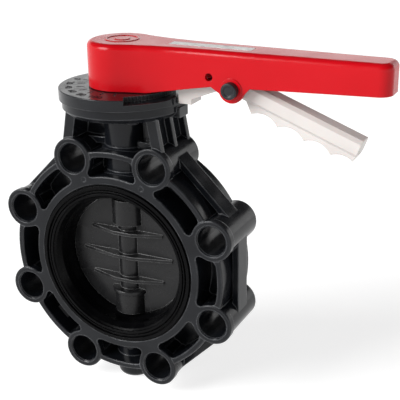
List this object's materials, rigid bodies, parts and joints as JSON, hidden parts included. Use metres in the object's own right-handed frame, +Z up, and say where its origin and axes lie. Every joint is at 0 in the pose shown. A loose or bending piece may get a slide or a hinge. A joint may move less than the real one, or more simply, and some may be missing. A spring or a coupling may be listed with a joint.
{
  "type": "lever operated butterfly valve",
  "caption": "Wafer-pattern plastic butterfly valve with an octagonal ribbed body, rubber seat, ribbed disc, graduated dial plate and a locking lever handle with a squeeze trigger.",
  "frame": {"origin": "centre of the bore, halfway between the two flange faces", "axes": "+Z up the stem towards the lever; Y is the pipe axis, the front face looks along -Y; +X is where the lever points with the disc closed"},
  "size_m": [0.3054, 0.099, 0.2819],
  "materials": {
    "body_plastic": "semi-gloss black glass-filled moulding",
    "liner_rubber": "matte black rubber",
    "bush_plastic": "off-white bearing plastic",
    "seal_rubber": "smooth black rubber",
    "plate_plastic": "satin dark grey moulding",
    "brass": "turned brass",
    "steel": "machined stainless steel",
    "disc_plastic": "dark grey moulding",
    "red_plastic": "bright glossy red moulding",
    "label_metal": "brushed silver strip, blank",
    "black_plastic": "satin black",
    "trigger_plastic": "warm light grey moulding"
  },
  "bodies": {
    "root": {"valve_body": "body_plastic", "seat_liner": "liner_rubber", "upper_bush": "bush_plastic", "lower_bush": "bush_plastic", "stem_o_rings": "seal_rubber", "bush_o_rings": "seal_rubber", "lower_stem_o_ring": "seal_rubber", "thrust_washer": "bush_plastic", "dial_plate": "plate_plastic", "plate_inserts": "brass", "plate_screws": "steel"},
    "rotor": {"disc": "disc_plastic", "disc_o_ring_upper": "seal_rubber", "disc_o_ring_lower": "seal_rubber", "stem": "steel", "handle": "red_plastic", "drive_bush": "steel", "handle_washer": "steel", "handle_screw": "steel", "hub_cap": "red_plastic", "label_plate": "label_metal", "pivot_pin": "black_plastic", "pivot_pin_clip": "steel", "trigger_spring": "steel"},
    "trigger": {"trigger": "trigger_plastic"}
  },
  "joints": [
    {"name": "handle_turn", "type": "hinge", "parent": "root", "child": "rotor", "pos_m": [0, 0, 0], "axis": [0, 0, 1], "range_deg": [0, 90]},
    {"name": "trigger_squeeze", "type": "hinge", "parent": "rotor", "child": "trigger", "pos_m": [0.095, 0, 0.1473], "axis": [0, -1, 0], "range_deg": [0, 14], "stiffness_Nm_per_rad": 1.5, "springref_deg": -5.73, "deforming": ["trigger_spring"]}
  ]
}
